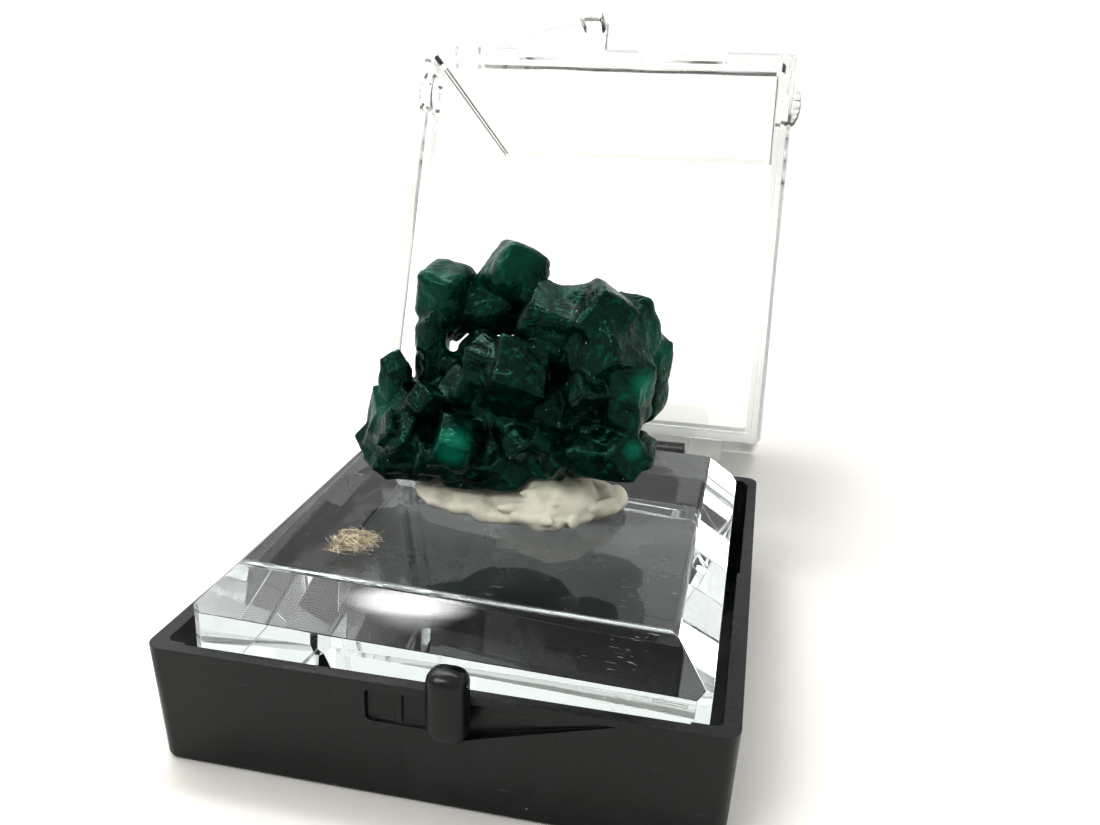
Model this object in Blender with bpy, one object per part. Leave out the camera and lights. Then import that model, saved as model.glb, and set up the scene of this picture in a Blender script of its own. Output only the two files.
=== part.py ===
# Dioptase cluster on a lump of putty, on a bevelled acrylic block, in a hinged display box with its lid open.
# Sizes are in millimetres and turned to metres by MM. The origin is the middle of the tray's underside:
# +X is the box's right, -Y its front with the catch, +Z up. Open 0 degrees, shut LID_SWING degrees.

import math
import random

import bmesh
import bpy
from mathutils import Matrix, Vector, noise

MM = 0.001

# Tray of black plastic
TRAY_WIDTH = 34.5
TRAY_DEPTH = 37.0
TRAY_HEIGHT = 7.9
TRAY_DRAFT = 0.35
TRAY_CORNER = 0.9
WALL = 0.95
FLOOR = 1.0
FOOT_ROUND = 0.3
CAVITY_CORNER = 0.5

# Thumb scoop and catch on the tray's front
CATCH_X = 1.5
CATCH_SIZE = (2.4, 2.0, 4.5)
CATCH_Y = -18.75
CATCH_TOP = 9.7
SCOOP_DEPTH = 0.85
SCOOP_LOW = 4.7
SCOOP_HIGH = 7.45
SCOOP_RIGHT = 12.2
SCOOP_LEFT = -3.5
SCOOP_LEFT_DEPTH = 0.45
RIB_X = (-1.75, -1.35)
RIB_OUT = 0.25
CATCH_ROUND = 0.85

# Inside of the tray: a pad behind the scoop, a relief under the front rim and a step in the right wall
PAD_LEFT = -5.5
PAD_TOP = 6.9
PAD_THICKNESS = 0.4
RELIEF_X = (-15.0, 14.6)
RELIEF_LOW = 6.9
RELIEF_DEPTH = 0.2
STEP_Y = (0.3, 16.9)
STEP_LOW = 2.0
STEP_DEPTH = 0.22

# Hinge across the back: lugs of the tray and knuckles of the lid on one axis
HINGE_Y = 19.38
HINGE_Z = 8.64
LID_SWING = 111.6
LUG_X = (8.05, 10.75)
LUG_RADIUS = 1.45
KNUCKLE_X = (11.05, 14.0)
PIN_RADIUS = 0.55
PIN_INNER_X = 8.7
BORE_RADIUS = 0.85
RUNNING_GAP = 0.35

# Clear lid, measured as it sits shut
LID_WIDTH = 34.55
LID_DEPTH = 34.8
LID_RIM_Z = 8.2
LID_TOP_Z = 36.94
LID_WALL = 1.36
LID_CORNER = 0.7
RIM_STEP = 0.45
RIM_STEP_HIGH = 1.9
LIP_HALF = 9.7
LIP_REACH = 2.8
LIP_THICK = 1.2
TONGUE_X = (-2.2, -0.1)
TONGUE_Y = (-20.0, -18.9)
TONGUE_LOW = 5.4
EAR_Y = -13.3
EAR_Z = 9.9

# Bevelled acrylic block, tipped a little in the tray
BLOCK_SIDE = 31.4
BLOCK_HEIGHT = 9.5
BLOCK_BEVEL_DROP = 2.64
BLOCK_BEVEL_SIDE = 2.47
BLOCK_BEVEL_FRONT = 2.28
BLOCK_CORNER = 0.83
BLOCK_EDGE = 0.3
BLOCK_TOP = (-0.02, -0.5, 11.72)
BLOCK_TILT = (0.025, 0.03, 0.002)

# Putty and lint on the block, in the block top's own plane
PUTTY_CENTRE = (1.3, 0.2)
PUTTY_HALF = (7.0, 4.9)
PUTTY_LIFT = 0.2
PUTTY_HEIGHT = 1.05
MOUND_CENTRE = (2.6, -1.0)
MOUND_HALF = (3.0, 3.5)
MOUND_HEIGHT = 2.45
LINT_CENTRE = (-7.0, -10.1)
LINT_HALF = (1.65, 1.8, 0.5)

# Crystal cluster
CLUSTER_FOOT = 13.35
END_FACE_ANGLE = 51.0
SMALL_SEED = 11
SMALL_COUNT = 60
SMALL_RADIUS = (0.4, 0.85)
SMALL_SHARE_IN_FRONT = 0.2
WINDOW_POINT = (-4.0, 1.0, 22.9)
WINDOW_LINE = (-0.29, 0.92, -0.24)
WINDOW_CLEAR = 1.35

# Grown-in lumps that carry the crystals: centre, half sizes
LUMPS = [
    ((0.2, 0.9, 17.7), (7.6, 3.9, 3.9)),
    ((5.6, 0.9, 22.3), (3.6, 3.0, 3.7)),
    ((-6.6, -0.1, 16.8), (3.2, 2.9, 3.0)),
]

# Large crystals: centre, axis, radius across the corners, length, turn about the axis in degrees
CRYSTALS = [
    ((-5.4, 2.0, 25.9), (-0.60, -0.60, 0.50), 2.45, 4.8, 40),
    ((-5.1, 2.3, 24.4), (-0.15, -0.20, 1.00), 1.95, 4.8, 33),
    ((-0.5, 2.2, 27.5), (0.10, -0.45, 0.88), 2.45, 5.0, 22),
    ((-2.5, 2.5, 25.9), (0.10, -0.60, 0.80), 1.35, 3.4, 5),
    ((-2.5, 2.7, 24.7), (1.00, -0.05, 0.08), 1.95, 8.2, 30),
    ((-6.0, 0.9, 21.6), (0.06, -0.06, 1.00), 1.30, 7.0, 14),
    ((2.6, -0.2, 24.9), (-0.46, -0.70, 0.55), 3.05, 5.2, 28),
    ((3.7, 0.8, 25.2), (0.85, -0.30, 0.18), 2.00, 6.0, 8),
    ((6.2, -0.9, 25.8), (0.10, -0.60, 0.78), 2.60, 4.6, 15),
    ((6.8, -1.6, 23.4), (0.30, -0.90, 0.10), 3.15, 5.6, 12),
    ((8.1, 1.2, 24.2), (-0.38, 0.10, 1.00), 1.85, 6.0, 10),
    ((9.1, 1.2, 21.2), (0.06, 0.10, 1.00), 1.55, 6.8, 8),
    ((8.0, -1.7, 20.6), (0.02, -0.10, 1.00), 1.95, 6.6, 27),
    ((0.7, -2.4, 21.5), (-0.25, -0.93, 0.20), 3.25, 5.4, 16),
    ((-1.1, -1.6, 22.1), (-0.65, -0.55, 0.50), 2.10, 4.4, 40),
    ((5.6, -2.9, 21.1), (0.15, -0.95, 0.12), 1.45, 4.4, 25),
    ((6.9, -2.3, 16.6), (1.00, -0.16, 0.06), 1.95, 7.0, 10),
    ((8.2, -0.6, 16.4), (0.80, 0.35, 0.25), 1.70, 4.6, 31),
    ((-6.9, -1.5, 16.7), (0.42, -0.42, 0.80), 3.00, 7.0, 18),
    ((-8.9, -1.2, 15.5), (-0.90, -0.20, 0.20), 1.90, 4.2, 2),
    ((-8.6, -0.6, 17.4), (0.25, -0.10, 0.93), 1.75, 5.8, 33),
    ((-7.3, -3.3, 17.3), (0.05, -0.97, 0.24), 1.85, 2.8, 14),
    ((-8.1, -1.0, 20.0), (0.10, 0.05, 1.00), 1.25, 4.4, 8),
    ((-7.1, -2.2, 14.8), (-0.95, -0.20, -0.02), 1.75, 5.8, 22),
    ((-5.3, -2.9, 19.4), (0.50, -0.70, 0.50), 1.35, 3.4, 21),
    ((-4.7, -3.2, 15.7), (-0.10, -0.90, 0.35), 1.80, 4.0, 35),
    ((-2.9, -3.8, 16.9), (-0.25, -0.90, 0.36), 2.05, 4.2, 24),
    ((1.3, -3.8, 17.3), (0.55, -0.80, 0.20), 1.25, 3.6, 12),
    ((3.0, -4.0, 17.6), (-0.15, -0.90, 0.40), 1.20, 3.4, 5),
    ((3.8, -3.8, 16.4), (0.35, -0.90, 0.10), 1.10, 3.0, 37),
    ((-1.6, -2.4, 14.9), (1.00, -0.05, 0.06), 1.85, 8.0, 15),
    ((2.0, -1.8, 15.7), (0.80, -0.40, 0.20), 1.60, 5.0, 28),
    ((-3.0, -1.4, 20.1), (0.30, -0.60, 0.70), 1.70, 4.0, 19),
    ((5.2, -0.9, 18.9), (0.20, -0.90, 0.20), 2.00, 4.6, 6),
    ((-5.2, 3.2, 18.3), (-0.40, 0.80, 0.35), 2.40, 5.6, 9),
    ((-1.0, 4.0, 20.0), (0.10, 0.90, 0.40), 2.60, 5.2, 26),
    ((3.6, 3.8, 17.4), (0.25, 0.92, -0.10), 2.70, 5.0, 13),
    ((5.4, 3.4, 22.0), (0.35, 0.80, 0.45), 2.60, 5.2, 38),
    ((-0.6, 3.4, 15.8), (-0.15, 0.90, 0.10), 2.10, 4.8, 17),
    ((2.2, 3.2, 24.2), (0.05, 0.70, 0.70), 2.00, 4.2, 29),
    ((-2.5, 0.5, 22.2), (0.35, -0.75, 0.55), 1.50, 3.4, 12),
    ((-4.3, 0.2, 21.1), (-0.30, -0.75, 0.60), 1.05, 2.8, 40),
]

COLLECTION = "dioptase"
CUTTERS = "dioptase_cutters"


def clear_scene():
    for item in list(bpy.data.objects):
        bpy.data.objects.remove(item, do_unlink=True)


def collection(name):
    group = bpy.data.collections.new(name)
    bpy.context.scene.collection.children.link(group)
    return group


def material(name, colour, roughness, alpha=1.0):
    made = bpy.data.materials.new(name)
    made.use_nodes = True
    shader = made.node_tree.nodes["Principled BSDF"]
    shader.inputs["Base Color"].default_value = (*colour, 1.0)
    shader.inputs["Roughness"].default_value = roughness
    shader.inputs["Alpha"].default_value = alpha
    return made


def new_object(name, bm, group, finish=None):
    mesh = bpy.data.meshes.new(name)
    bm.to_mesh(mesh)
    bm.free()
    made = bpy.data.objects.new(name, mesh)
    group.objects.link(made)
    if finish:
        mesh.materials.append(finish)
    return made


def scale_all(bm, size):
    bmesh.ops.scale(bm, vec=Vector(size) * MM, verts=bm.verts)


def move_all(bm, place):
    bmesh.ops.translate(bm, vec=Vector(place) * MM, verts=bm.verts)


def round_edges(bm, edges, radius, segments=3):
    bmesh.ops.bevel(
        bm, geom=edges, offset=radius * MM, offset_type="OFFSET", segments=segments, profile=0.5, affect="EDGES"
    )


def box_between(low, high):
    """A box from its low corner to its high corner, in millimetres."""
    bm = bmesh.new()
    bmesh.ops.create_cube(bm, size=1.0)
    scale_all(bm, [high[i] - low[i] for i in range(3)])
    move_all(bm, [(high[i] + low[i]) / 2 for i in range(3)])
    return bm


def upright_edges(bm):
    return [e for e in bm.edges if abs(e.verts[0].co.z - e.verts[1].co.z) > 2 * MM]


def tapered_box(width, depth, z_low, z_high, draft, corner, foot=0.0):
    """An upright box whose foot is smaller by the draft on each side, with rounded upright edges."""
    bm = box_between((-width / 2, -depth / 2, z_low), (width / 2, depth / 2, z_high))
    for vert in bm.verts:
        if vert.co.z < (z_low + z_high) / 2 * MM:
            vert.co.x *= 1 - 2 * draft / width
            vert.co.y *= 1 - 2 * draft / depth
    round_edges(bm, upright_edges(bm), corner, 4)
    if foot:
        low = [e for e in bm.edges if max(v.co.z for v in e.verts) < (z_low + 0.01) * MM]
        round_edges(bm, low, foot, 2)
    return bm


def rod_along_x(x_low, x_high, y, z, radius, segments=28):
    bm = bmesh.new()
    bmesh.ops.create_cone(
        bm, cap_ends=True, segments=segments, radius1=radius * MM, radius2=radius * MM, depth=(x_high - x_low) * MM
    )
    bmesh.ops.rotate(bm, verts=bm.verts, matrix=Matrix.Rotation(math.pi / 2, 3, "Y"))
    move_all(bm, ((x_low + x_high) / 2, y, z))
    return bm


def rounded_block(low, high, radius, segments=3):
    bm = box_between(low, high)
    round_edges(bm, list(bm.edges), radius, segments)
    return bm


def ellipsoid(centre, half, columns=20, rows=12):
    bm = bmesh.new()
    bmesh.ops.create_uvsphere(bm, u_segments=columns, v_segments=rows, radius=1.0)
    scale_all(bm, half)
    move_all(bm, centre)
    return bm


def slice_off(bm, point, normal):
    """Cuts away everything beyond a plane and closes the cut. The point is in metres."""
    geometry = bm.verts[:] + bm.edges[:] + bm.faces[:]
    bmesh.ops.bisect_plane(bm, geom=geometry, dist=1e-8, plane_co=point, plane_no=normal, clear_outer=True)
    rim = [e for e in bm.edges if e.is_boundary]
    if rim:
        bmesh.ops.holes_fill(bm, edges=rim, sides=0)


def boolean(target, tools, operation):
    """Joins or cuts with each tool in turn by the exact solver, and leaves a plain mesh."""
    for tool in tools:
        step = target.modifiers.new(tool.name, "BOOLEAN")
        step.operation = operation
        step.solver = "EXACT"
        step.object = tool
        tool.hide_render = True
        tool.display_type = "WIRE"
    return target


def bake(target):
    """Turns the evaluated object into its own plain mesh, so that it can be used again."""
    depsgraph = bpy.context.evaluated_depsgraph_get()
    mesh = bpy.data.meshes.new_from_object(target.evaluated_get(depsgraph))
    old = target.data
    target.modifiers.clear()
    target.data = mesh
    bpy.data.meshes.remove(old)


def smooth(target, angle=35.0):
    target.data.shade_smooth()
    target.data.set_sharp_from_angle(angle=math.radians(angle))


def hinge_eye(x_low, x_high, wall_points):
    """A round eye on the hinge axis, drawn out to points (y, z) inside the wall that it grows from."""
    bm = rod_along_x(x_low, x_high, HINGE_Y, HINGE_Z, LUG_RADIUS)
    for y, z in wall_points:
        bm.verts.new(Vector((x_low, y, z)) * MM)
        bm.verts.new(Vector((x_high, y, z)) * MM)
    hull = bmesh.ops.convex_hull(bm, input=bm.verts)
    spare = [item for item in hull["geom_interior"] + hull["geom_unused"] if isinstance(item, bmesh.types.BMVert)]
    bmesh.ops.delete(bm, geom=spare, context="VERTS")
    bmesh.ops.dissolve_limit(bm, angle_limit=0.001, verts=bm.verts, edges=bm.edges)
    return bm


def both_sides(maker, spans):
    """The same piece at the right and, mirrored in X, at the left."""
    low, high = spans
    return [maker(low, high), maker(-high, -low)]


def make_tray(parts, cutters, finish):
    shell = tapered_box(TRAY_WIDTH, TRAY_DEPTH, 0, TRAY_HEIGHT, TRAY_DRAFT, TRAY_CORNER, FOOT_ROUND)
    tray = new_object("base_tray", shell, parts, finish)
    inner_width = TRAY_WIDTH - 2 * WALL
    inner_depth = TRAY_DEPTH - 2 * WALL
    cavity = tapered_box(inner_width, inner_depth, FLOOR, TRAY_HEIGHT + 6, 0.0, CAVITY_CORNER)
    front = -TRAY_DEPTH / 2
    scoop_run = SCOOP_RIGHT - CATCH_X
    boolean(tray, [new_object("cut_cavity", cavity, cutters)], "DIFFERENCE")

    # A pad behind the scoop keeps the front wall whole where the scoop goes in
    pad = box_between(
        (PAD_LEFT, front + WALL - 0.3, FLOOR / 2), (SCOOP_RIGHT + 1, front + WALL + PAD_THICKNESS, PAD_TOP)
    )
    boolean(tray, [new_object("join_pad", pad, cutters)], "UNION")

    # Right half of the scoop: a box turned so that it runs out at the rim and at the wall's face
    rise = math.atan2(TRAY_HEIGHT - SCOOP_LOW, scoop_run)
    turn = math.atan2(SCOOP_DEPTH, scoop_run)
    scoop = box_between((0, -4, 0), (scoop_run * 1.4, 0, 8))
    bmesh.ops.rotate(scoop, verts=scoop.verts, matrix=Matrix.Rotation(-rise, 3, "Y"))
    bmesh.ops.rotate(scoop, verts=scoop.verts, matrix=Matrix.Rotation(-turn, 3, "Z"))
    move_all(scoop, (CATCH_X, front + SCOOP_DEPTH, SCOOP_LOW))
    slice_off(scoop, Vector((0, 0, SCOOP_HIGH * MM)), Vector((0, 0, 1)))
    left = rounded_block(
        (SCOOP_LEFT, front - 3, SCOOP_LOW + 0.6),
        (CATCH_X + 0.5, front + SCOOP_LEFT_DEPTH, SCOOP_HIGH - 0.1),
        0.3,
        2,
    )
    boolean(
        tray, [new_object("cut_scoop_right", scoop, cutters), new_object("cut_scoop_left", left, cutters)], "DIFFERENCE"
    )
    rib = rounded_block(
        (RIB_X[0], front + RIB_OUT, SCOOP_LOW + 0.4), (RIB_X[1], front + RIB_OUT + 0.45, SCOOP_HIGH + 0.1), 0.12, 2
    )

    # Catch: an upright rounded boss that stands above the rim, clear of the lid's front wall
    wide, deep, tall = CATCH_SIZE
    boss = rounded_block(
        (CATCH_X - wide / 2, CATCH_Y - deep / 2, CATCH_TOP - tall),
        (CATCH_X + wide / 2, CATCH_Y + deep / 2, CATCH_TOP),
        CATCH_ROUND,
        4,
    )

    def lug(x_low, x_high):
        near = TRAY_DEPTH / 2 - 0.75
        return hinge_eye(x_low, x_high, [(near, HINGE_Z - 3.6), (near + 0.5, HINGE_Z - 3.6), (near, HINGE_Z + 0.3)])

    def knuckle_room(x_low, x_high):
        inner = 0.45 if x_low > 0 else RUNNING_GAP
        outer = RUNNING_GAP if x_low > 0 else 0.45
        return box_between((x_low - inner, TRAY_DEPTH / 2 - WALL - 0.5, 6.8), (x_high + outer, TRAY_DEPTH / 2 + 2, 9))

    def bore(x_low, x_high):
        return rod_along_x(x_low - 1, x_high + 1, HINGE_Y, HINGE_Z, BORE_RADIUS, 20)

    joined = [new_object("join_rib", rib, cutters), new_object("join_boss", boss, cutters)]
    joined += [new_object("join_lug", bm, cutters) for bm in both_sides(lug, LUG_X)]
    rooms = [new_object("cut_knuckle_room", bm, cutters) for bm in both_sides(knuckle_room, KNUCKLE_X)]
    boolean(tray, rooms, "DIFFERENCE")
    boolean(tray, joined, "UNION")
    cuts = [new_object("cut_bore", bm, cutters) for bm in both_sides(bore, LUG_X)]

    # Relief along the front wall's inner face and a shallow step in the right wall
    relief = box_between(
        (RELIEF_X[0], front + WALL - RELIEF_DEPTH, RELIEF_LOW), (RELIEF_X[1], front + WALL + 0.5, TRAY_HEIGHT + 1)
    )
    inner_face = TRAY_WIDTH / 2 - WALL
    step = box_between(
        (inner_face - 0.2, STEP_Y[0], STEP_LOW), (inner_face + STEP_DEPTH, STEP_Y[1], TRAY_HEIGHT + 1)
    )
    cuts += [new_object("cut_relief", relief, cutters), new_object("cut_step", step, cutters)]
    boolean(tray, cuts, "DIFFERENCE")
    bake(tray)
    smooth(tray)
    return tray


def make_lip():
    """The finger lip: half of a flat ellipse along the lid's front rim, notched for the catch."""
    bm = bmesh.new()
    bmesh.ops.create_cone(bm, cap_ends=True, segments=48, radius1=1.0, radius2=1.0, depth=LIP_THICK * MM)
    for vert in bm.verts:
        vert.co.x *= LIP_HALF * MM
        vert.co.y *= LIP_REACH * MM
    slice_off(bm, Vector((0, 0.5 * MM, 0)), Vector((0, 1, 0)))
    move_all(bm, (CATCH_X - 0.1, -LID_DEPTH / 2, LID_RIM_Z + LIP_THICK / 2))
    return bm


def make_lid(parts, cutters, finish):
    shell = tapered_box(LID_WIDTH, LID_DEPTH, LID_RIM_Z, LID_TOP_Z, 0.0, LID_CORNER)
    top = [e for e in shell.edges if min(v.co.z for v in e.verts) > (LID_TOP_Z - 0.01) * MM]
    round_edges(shell, top, 0.45, 3)
    lid = new_object("clear_lid", shell, parts, finish)
    inside = tapered_box(
        LID_WIDTH - 2 * LID_WALL, LID_DEPTH - 2 * LID_WALL, LID_RIM_Z - 5, LID_TOP_Z - LID_WALL, 0.0, 0.35
    )
    # A step inside the rim leaves room for the block's upright sides when the lid is shut
    step_wall = LID_WALL - RIM_STEP
    step = tapered_box(
        LID_WIDTH - 2 * step_wall, LID_DEPTH - 2 * step_wall, LID_RIM_Z - 5, LID_RIM_Z + RIM_STEP_HIGH, 0.0, 0.35
    )
    boolean(
        lid, [new_object("cut_lid_inside", inside, cutters), new_object("cut_rim_step", step, cutters)], "DIFFERENCE"
    )
    back = LID_DEPTH / 2

    def knuckle(x_low, x_high):
        return hinge_eye(x_low, x_high, [(back - 0.7, LID_RIM_Z + 0.35), (back - 0.7, HINGE_Z + LUG_RADIUS - 0.1)])

    def pin(x_low, x_high):
        inner = PIN_INNER_X if x_low > 0 else -PIN_INNER_X
        near = x_low if x_low > 0 else x_high
        ends = sorted((inner, near + math.copysign(0.6, near)))
        return rod_along_x(ends[0], ends[1], HINGE_Y, HINGE_Z, PIN_RADIUS, 16)

    def ear(x_low, x_high):
        side = math.copysign(LID_WIDTH / 2 - 0.15, x_low + x_high)
        return ellipsoid((side, EAR_Y, EAR_Z), (0.9, 2.0, 1.5), 20, 10)

    tongue = rounded_block(
        (TONGUE_X[0], TONGUE_Y[0], TONGUE_LOW), (TONGUE_X[1], TONGUE_Y[1], LID_RIM_Z + LIP_THICK - 0.05), 0.4, 3
    )
    joined = [new_object("join_lip", make_lip(), cutters), new_object("join_tongue", tongue, cutters)]
    joined += [new_object("join_knuckle", bm, cutters) for bm in both_sides(knuckle, KNUCKLE_X)]
    joined += [new_object("join_pin", bm, cutters) for bm in both_sides(pin, KNUCKLE_X)]
    joined += [new_object("join_ear", bm, cutters) for bm in both_sides(ear, (1, 2))]
    boolean(lid, joined, "UNION")
    notch = box_between(
        (CATCH_X - CATCH_SIZE[0] / 2 - RUNNING_GAP, -LID_DEPTH / 2 - 6, LID_RIM_Z - 1),
        (CATCH_X + CATCH_SIZE[0] / 2 + RUNNING_GAP, -LID_DEPTH / 2, LID_RIM_Z + LIP_THICK + 0.5),
    )
    boolean(lid, [new_object("cut_notch", notch, cutters)], "DIFFERENCE")
    bake(lid)
    smooth(lid)

    # The mesh is moved so that its origin is the hinge axis, which the lid then turns about to stand open
    axis = bpy.data.objects.new("lid_hinge_axis", None)
    parts.objects.link(axis)
    axis.location = Vector((0, HINGE_Y, HINGE_Z)) * MM
    axis.rotation_euler = (-math.radians(LID_SWING), 0, 0)
    lid.parent = axis
    lid.data.transform(Matrix.Translation(Vector((0, -HINGE_Y, -HINGE_Z)) * MM))
    return lid


def block_frame():
    """The tipped block's own axes, with the middle of its top face as origin."""
    turn_x, turn_y, turn_z = BLOCK_TILT
    turned = Matrix.Rotation(turn_z, 4, "Z") @ Matrix.Rotation(turn_y, 4, "Y") @ Matrix.Rotation(turn_x, 4, "X")
    return Matrix.Translation(Vector(BLOCK_TOP) * MM) @ turned


def make_block(parts, finish):
    half = BLOCK_SIDE / 2
    bm = box_between((-half, -half, -BLOCK_HEIGHT), (half, half, 0))
    bmesh.ops.bevel(
        bm, geom=upright_edges(bm), offset=BLOCK_CORNER * MM, offset_type="OFFSET", segments=1, affect="EDGES"
    )
    for turn in range(4):
        inset = BLOCK_BEVEL_SIDE if turn % 2 == 0 else BLOCK_BEVEL_FRONT
        out = Vector((math.cos(turn * math.pi / 2), math.sin(turn * math.pi / 2), 0))
        slope = (out * BLOCK_BEVEL_DROP + Vector((0, 0, inset))).normalized()
        slice_off(bm, (out * half + Vector((0, 0, -BLOCK_BEVEL_DROP))) * MM, slope)
        edge = (out + Vector((0, 0, 2.2))).normalized()
        slice_off(bm, (out * (half - inset - BLOCK_EDGE)) * MM, edge)
    block = new_object("acrylic_block", bm, parts, finish)
    block.matrix_world = block_frame()
    return block


def putty_lump(half, height, waves):
    """A pressed lump with a flat foot and an uneven outline, its foot at z = 0."""
    bm = ellipsoid((0, 0, 0), (1, 1, 1), 36, 14)
    for vert in bm.verts:
        unit = vert.co / MM
        swell = 1 + 0.10 * noise.noise(unit * 1.9 + Vector((3.1, 0.4, 1.7)))
        ripple = 0.035 * math.sin(waves * math.atan2(unit.y, unit.x))
        vert.co.x = unit.x * half[0] * (swell + ripple) * MM
        vert.co.y = unit.y * half[1] * (swell + ripple) * MM
        vert.co.z = (unit.z + 0.35) / 1.35 * height * MM
    slice_off(bm, Vector((0, 0, 0)), Vector((0, 0, -1)))
    bmesh.ops.remove_doubles(bm, verts=bm.verts, dist=1e-6)
    return bm


def make_putty(parts, cutters, finish):
    """A kneaded pad with a mound at its right that reaches up into the hollow under the cluster."""
    putty = new_object("putty", putty_lump(PUTTY_HALF, PUTTY_HEIGHT, 9), parts, finish)
    mound = putty_lump(MOUND_HALF, MOUND_HEIGHT, 5)
    move_all(mound, (*MOUND_CENTRE, 0.03))
    boolean(putty, [new_object("join_mound", mound, cutters)], "UNION")
    bake(putty)
    putty.matrix_world = block_frame() @ Matrix.Translation(Vector((*PUTTY_CENTRE, PUTTY_LIFT)) * MM)
    smooth(putty, 50)
    return putty


def make_lint(parts, finish):
    """The outline of a loose tuft of fibres."""
    bm = ellipsoid((0, 0, 0), (1, 1, 1), 18, 10)
    for vert in bm.verts:
        unit = vert.co / MM
        swell = 1 + 0.25 * noise.noise(unit * 2.3)
        vert.co.x = unit.x * LINT_HALF[0] * swell * MM
        vert.co.y = unit.y * LINT_HALF[1] * swell * MM
        vert.co.z = unit.z * LINT_HALF[2] * MM
    lint = new_object("lint_tuft", bm, parts, finish)
    lift = LINT_HALF[2] + 0.12
    lint.matrix_world = block_frame() @ Matrix.Translation(Vector((*LINT_CENTRE, lift)) * MM)
    smooth(lint, 60)
    return lint


def crystal(centre, axis, radius, length, turn):
    """A six-sided prism that ends in three rhombohedron faces at each end."""
    bm = bmesh.new()
    bmesh.ops.create_cone(
        bm, cap_ends=True, segments=6, radius1=radius * MM, radius2=radius * MM, depth=length * 1.3 * MM
    )
    tilt = math.radians(END_FACE_ANGLE)
    for end in (1, -1):
        for face in range(3):
            around = math.radians(120 * face + (30 if end > 0 else 90))
            normal = Vector(
                (math.sin(tilt) * math.cos(around), math.sin(tilt) * math.sin(around), math.cos(tilt) * end)
            )
            # Each end face is set a little off its neighbours, so that the tips aren't perfect points
            offset = 0.06 * radius * ((face * 2 + (end > 0)) % 3)
            slice_off(bm, Vector((0, 0, end * (length / 2 + offset) * MM)), normal)
    spin = Matrix.Rotation(math.radians(turn), 3, "Z")
    bmesh.ops.rotate(bm, verts=bm.verts, matrix=spin)
    lean = Vector(axis).normalized().to_track_quat("Z", "Y").to_matrix()
    bmesh.ops.rotate(bm, verts=bm.verts, matrix=lean)
    move_all(bm, centre)
    return bm


def off_window(point):
    """How far a point is from the line that looks through the gap in the cluster."""
    line = Vector(WINDOW_LINE).normalized()
    away = Vector(point) - Vector(WINDOW_POINT)
    return (away - line * away.dot(line)).length


def small_crystals():
    """Small crystals that stand on the lumps and the flanks of the large ones, from a fixed seed."""
    pick = random.Random(SMALL_SEED)
    made = []
    while len(made) < SMALL_COUNT:
        facing = Vector((pick.gauss(0, 1), pick.gauss(0, 1), pick.gauss(0, 1))).normalized()
        if pick.random() < 0.6:
            centre, half = pick.choice(LUMPS)
            spot = Vector(centre) + Vector([facing[i] * half[i] * 0.95 for i in range(3)])
        else:
            centre, axis, radius, length, turn = pick.choice(CRYSTALS)
            along = Vector(axis).normalized()
            side = (facing - along * facing.dot(along)).normalized()
            spot = Vector(centre) + side * radius * 0.72 + along * pick.uniform(-0.42, 0.3) * length
            facing = (side + along * 0.7).normalized()
        radius = pick.uniform(*SMALL_RADIUS)
        length = radius * pick.uniform(2.1, 3.0)
        turn = pick.uniform(0, 60)
        if spot.z < CLUSTER_FOOT + 0.9 or off_window(spot) < WINDOW_CLEAR + radius:
            continue
        if spot.y < 0.5 and pick.random() > SMALL_SHARE_IN_FRONT:
            continue
        made.append((spot, facing, radius, length, turn))
    return made


def keep_outer_shell(bm):
    """Deletes every shell but the largest, such as a bubble that overlapping crystals close off."""
    loose = set(bm.faces)
    shells = []
    while loose:
        seed = loose.pop()
        shell = {seed}
        edge_of = [seed]
        while edge_of:
            face = edge_of.pop()
            for edge in face.edges:
                for near in edge.link_faces:
                    if near in loose:
                        loose.remove(near)
                        shell.add(near)
                        edge_of.append(near)
        shells.append(shell)
    shells.sort(key=len)
    spare = [face for shell in shells[:-1] for face in shell]
    if spare:
        bmesh.ops.delete(bm, geom=spare, context="FACES")


def make_cluster(parts, cutters, finish):
    tools = []
    for number, (centre, half) in enumerate(LUMPS):
        bm = bmesh.new()
        bmesh.ops.create_icosphere(bm, subdivisions=2, radius=1.0)
        scale_all(bm, half)
        move_all(bm, centre)
        tools.append(new_object(f"lump_{number}", bm, cutters))
    for number, values in enumerate(CRYSTALS + small_crystals()):
        tools.append(new_object(f"crystal_{number}", crystal(*values), cutters))
    grown = tools[0]
    cluster = new_object("dioptase_cluster", bmesh.new(), parts, finish)
    cluster.data = grown.data.copy()
    cluster.data.materials.clear()
    cluster.data.materials.append(finish)
    boolean(cluster, tools[1:], "UNION")
    bake(cluster)
    bm = bmesh.new()
    bm.from_mesh(cluster.data)
    slice_off(bm, Vector((0, 0, CLUSTER_FOOT * MM)), Vector((0, 0, -1)))
    bmesh.ops.remove_doubles(bm, verts=bm.verts, dist=2e-6)
    keep_outer_shell(bm)
    bmesh.ops.triangulate(bm, faces=bm.faces)
    bm.to_mesh(cluster.data)
    bm.free()
    for tool in tools:
        tool.hide_render = True
        tool.display_type = "WIRE"
    return cluster


clear_scene()
parts_group = collection(COLLECTION)
cutter_group = collection(CUTTERS)
black_plastic = material("black_plastic", (0.016, 0.018, 0.017), 0.38)
clear_plastic = material("clear_plastic", (0.92, 0.94, 0.94), 0.06, alpha=0.3)
acrylic = material("cast_acrylic", (0.90, 0.93, 0.92), 0.03, alpha=0.35)
putty_finish = material("mineral_putty", (0.70, 0.68, 0.61), 0.75)
lint_finish = material("lint_fibre", (0.42, 0.33, 0.21), 0.9)
dioptase_finish = material("dioptase_crystal", (0.010, 0.120, 0.080), 0.12)

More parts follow.
